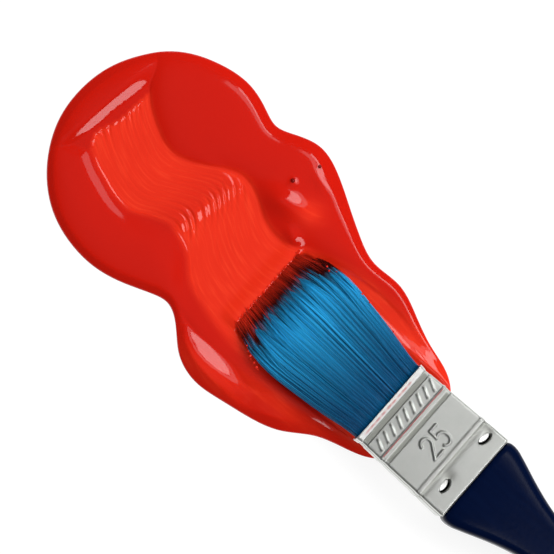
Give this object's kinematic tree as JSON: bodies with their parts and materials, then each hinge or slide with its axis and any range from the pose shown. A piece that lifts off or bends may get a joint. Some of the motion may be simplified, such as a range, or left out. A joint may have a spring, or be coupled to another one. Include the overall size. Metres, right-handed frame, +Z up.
{
  "type": "paint brush in spilled paint",
  "caption": "Flat paint brush with a stamped metal ferrule and a rounded handle, lying in a winding pool of thick glossy paint that it has been drawn through.",
  "frame": {"origin": "on the table, straight below the middle of the ferrule's mouth, which is a point of the pool's underside", "axes": "+X along the brush from the filament tips to the end of the handle, +Y across the brush, +Z up from the table"},
  "size_m": [0.2672, 0.0704, 0.0143],
  "materials": {
    "red_paint": "wet gloss",
    "blue_filament": "satin, fine streaks along the filaments",
    "tinplate": "satin, stamped",
    "navy_lacquer": "gloss lacquer",
    "plain_wood": "bare",
    "epoxy": "set resin"
  },
  "bodies": {
    "pool": {"paint_pool": "red_paint"},
    "brush": {"handle": "navy_lacquer", "ferrule": "tinplate", "spacer_plug": "plain_wood", "filament_roots": "blue_filament", "epoxy_setting": "epoxy"},
    "tuft": {"upper_filaments": "blue_filament", "core_filaments": "blue_filament", "lower_filaments": "blue_filament", "paint_load": "red_paint"}
  },
  "joints": [
    {"name": "brush_lift", "type": "slide", "parent": "pool", "child": "brush", "axis": [0, 0, 1], "range_m": [0, 0.06]},
    {"name": "tuft_flex", "type": "hinge", "parent": "brush", "child": "tuft", "pos_m": [-0.00335, 0.00001, 0.00807], "axis": [0, 0.9925, -0.1219], "range_deg": [0, 30], "stiffness_Nm_per_rad": 0.05}
  ]
}
